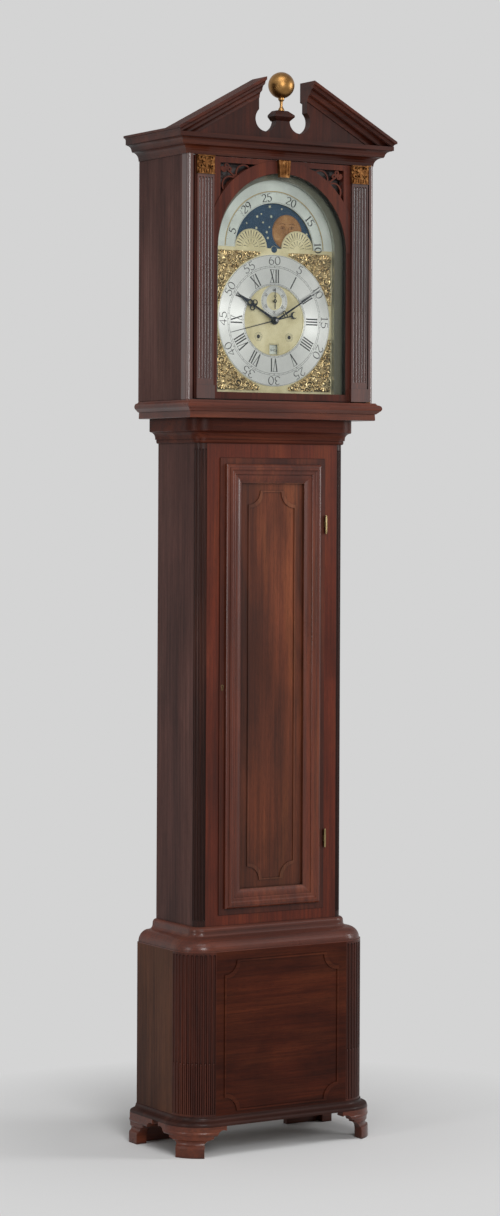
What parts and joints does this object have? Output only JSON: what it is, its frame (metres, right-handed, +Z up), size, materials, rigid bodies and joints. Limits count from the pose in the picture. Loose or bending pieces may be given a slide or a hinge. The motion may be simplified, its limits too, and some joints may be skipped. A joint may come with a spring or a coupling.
{
  "type": "longcase clock",
  "caption": "Tall wooden clock with an arched moon dial behind a glazed hood door, a broken pediment with a ball, a long trunk door, fluted corner columns and bracket feet.",
  "frame": {"origin": "centre of the clock's footprint on the floor, at the underside of the feet", "axes": "+Z up along the height of the case, +X to the right of someone who faces the dial, +Y towards the back"},
  "size_m": [0.564, 0.2454, 2.361],
  "materials": {
    "mahogany": "satin",
    "figured_veneer": "gloss",
    "oak": "matt",
    "gilt": "satin",
    "brass": "satin",
    "silvered_brass": "matt",
    "blued_steel": "satin",
    "steel": "satin",
    "painted_disc": "satin",
    "gut": "satin",
    "glass": "clear"
  },
  "bodies": {
    "case": {"backboard": "oak", "base_front_panel": "mahogany", "base_side_panels": "mahogany", "base_corner_columns": "mahogany", "base_floor": "oak", "plinth_moulding": "mahogany", "bracket_feet": "mahogany", "base_top_moulding": "mahogany", "waist_sides": "mahogany", "waist_front_frame": "mahogany", "waist_corner_columns": "mahogany", "waist_crown_moulding": "mahogany", "seatboard": "oak", "trunk_hinges": "brass", "dial_plate": "brass", "dial_rings": "silvered_brass", "arch_rings": "silvered_brass", "corner_spandrels": "gilt", "movement_plates": "brass", "plate_pillars": "brass", "bell": "silvered_brass", "going_line": "gut", "strike_line": "gut"},
    "centre_arbor": {"centre_wheel": "brass", "minute_hand": "blued_steel"},
    "hour_pipe": {"hour_wheel": "brass", "hour_hand": "blued_steel"},
    "minute_work": {"minute_wheel": "brass"},
    "third_arbor": {"third_wheel": "brass"},
    "escape_arbor": {"escape_wheel": "brass", "seconds_hand": "blued_steel"},
    "going_wheel": {"going_great_wheel": "brass"},
    "going_drum": {"going_barrel": "brass"},
    "pallet_arbor": {"pallets": "steel"},
    "pendulum": {"pendulum_rod": "steel", "pendulum_bob": "brass"},
    "strike_wheel": {"strike_great_wheel": "brass"},
    "strike_drum": {"strike_barrel": "brass"},
    "pin_arbor": {"pin_wheel": "brass"},
    "hammer_arbor": {"hammer": "steel"},
    "moon": {"moon_disc": "painted_disc"},
    "date": {"date_disc": "silvered_brass"},
    "calendar": {"calendar_hand": "blued_steel"},
    "going_mass": {"going_weight": "brass"},
    "strike_mass": {"strike_weight": "brass"},
    "hood": {"hood_sides": "mahogany", "hood_frame": "mahogany", "hood_base_moulding": "mahogany", "hood_cornice": "mahogany", "pediment_board": "figured_veneer", "raking_mouldings": "mahogany", "ball_finial": "gilt", "hood_roof": "oak"},
    "glazed_door": {"hood_door": "mahogany", "hood_glass": "glass", "hood_pilasters": "mahogany", "gilt_ornaments": "gilt"},
    "long_door": {"trunk_door": "figured_veneer", "trunk_door_moulding": "mahogany", "trunk_brasswork": "brass"}
  },
  "joints": [
    {"name": "centre_turn", "type": "hinge", "parent": "case", "child": "centre_arbor", "pos_m": [0, 0.00275, 1.816], "axis": [0, 1, 0], "continuous": true},
    {"name": "hour_turn", "type": "hinge", "parent": "case", "child": "hour_pipe", "pos_m": [0, 0.00275, 1.816], "axis": [0, 1, 0], "continuous": true},
    {"name": "minute_work_turn", "type": "hinge", "parent": "case", "child": "minute_work", "pos_m": [0, 0.00275, 1.78], "axis": [0, 1, 0], "continuous": true},
    {"name": "third_turn", "type": "hinge", "parent": "case", "child": "third_arbor", "pos_m": [0.0142, 0.00275, 1.8412], "axis": [0, 1, 0], "continuous": true},
    {"name": "escape_turn", "type": "hinge", "parent": "case", "child": "escape_arbor", "pos_m": [0, 0.00275, 1.859], "axis": [0, 1, 0], "continuous": true},
    {"name": "going_wheel_turn", "type": "hinge", "parent": "case", "child": "going_wheel", "pos_m": [0.04, 0.00275, 1.78], "axis": [0, 1, 0], "continuous": true},
    {"name": "calendar_turn", "type": "hinge", "parent": "case", "child": "calendar", "pos_m": [0, 0.00275, 1.816], "axis": [0, 1, 0], "continuous": true},
    {"name": "moon_turn", "type": "hinge", "parent": "case", "child": "moon", "pos_m": [0, 0.00275, 1.973], "axis": [0, 1, 0], "continuous": true},
    {"name": "date_turn", "type": "hinge", "parent": "case", "child": "date", "pos_m": [0, 0.00275, 1.719], "axis": [0, 1, 0], "continuous": true},
    {"name": "strike_wheel_turn", "type": "hinge", "parent": "case", "child": "strike_wheel", "pos_m": [-0.04, 0.00275, 1.78], "axis": [0, 1, 0], "continuous": true},
    {"name": "pin_turn", "type": "hinge", "parent": "case", "child": "pin_arbor", "pos_m": [-0.036, 0.00275, 1.833], "axis": [0, 1, 0], "continuous": true},
    {"name": "pendulum_swing", "type": "hinge", "parent": "case", "child": "pendulum", "pos_m": [0, 0.05775, 1.8865], "axis": [0, 1, 0], "range_deg": [-3, 3]},
    {"name": "pallet_rock", "type": "hinge", "parent": "case", "child": "pallet_arbor", "pos_m": [0, 0.02275, 1.8865], "axis": [0, 1, 0], "range_deg": [-3, 3]},
    {"name": "hammer_lift", "type": "hinge", "parent": "case", "child": "hammer_arbor", "pos_m": [-0.062, 0.00275, 1.868], "axis": [0, -1, 0], "range_deg": [0, 10]},
    {"name": "going_weight_wind", "type": "slide", "parent": "case", "child": "going_mass", "axis": [0, 0, 1], "range_m": [0, 1.2], "deforming": ["going_line"]},
    {"name": "strike_weight_wind", "type": "slide", "parent": "case", "child": "strike_mass", "axis": [0, 0, 1], "range_m": [0, 1.2], "deforming": ["strike_line"]},
    {"name": "going_drum_turn", "type": "hinge", "parent": "case", "child": "going_drum", "pos_m": [0.04, 0.00275, 1.78], "axis": [0, 1, 0], "range_deg": [-5500, 5500]},
    {"name": "strike_drum_turn", "type": "hinge", "parent": "case", "child": "strike_drum", "pos_m": [-0.04, 0.00275, 1.78], "axis": [0, 1, 0], "range_deg": [-5500, 5500]},
    {"name": "hood_slide", "type": "slide", "parent": "case", "child": "hood", "axis": [0, -1, 0], "range_m": [0, 0.3]},
    {"name": "hood_door_swing", "type": "hinge", "parent": "hood", "child": "glazed_door", "pos_m": [0.2265, -0.09475, 1.887], "axis": [0, 0, 1], "range_deg": [0, 100]},
    {"name": "trunk_door_swing", "type": "hinge", "parent": "case", "child": "long_door", "pos_m": [0.137, -0.06025, 1], "axis": [0, 0, 1], "range_deg": [0, 100]}
  ],
  "couplings": [
    {"joint": "hour_turn", "follows": "centre_turn", "ratio": 0.083333},
    {"joint": "minute_work_turn", "follows": "centre_turn", "ratio": -1},
    {"joint": "third_turn", "follows": "centre_turn", "ratio": -7.5},
    {"joint": "escape_turn", "follows": "centre_turn", "ratio": 60},
    {"joint": "going_wheel_turn", "follows": "centre_turn", "ratio": -0.083333},
    {"joint": "calendar_turn", "follows": "centre_turn", "ratio": 0.0013441},
    {"joint": "moon_turn", "follows": "centre_turn", "ratio": 0.00070621},
    {"joint": "date_turn", "follows": "centre_turn", "ratio": 0.0013441},
    {"joint": "pin_turn", "follows": "strike_wheel_turn", "ratio": -10.5},
    {"joint": "pallet_rock", "follows": "pendulum_swing", "ratio": 1},
    {"joint": "going_drum_turn", "follows": "going_weight_wind", "rad_per_m": 77.519},
    {"joint": "strike_drum_turn", "follows": "strike_weight_wind", "rad_per_m": -77.519}
  ]
}
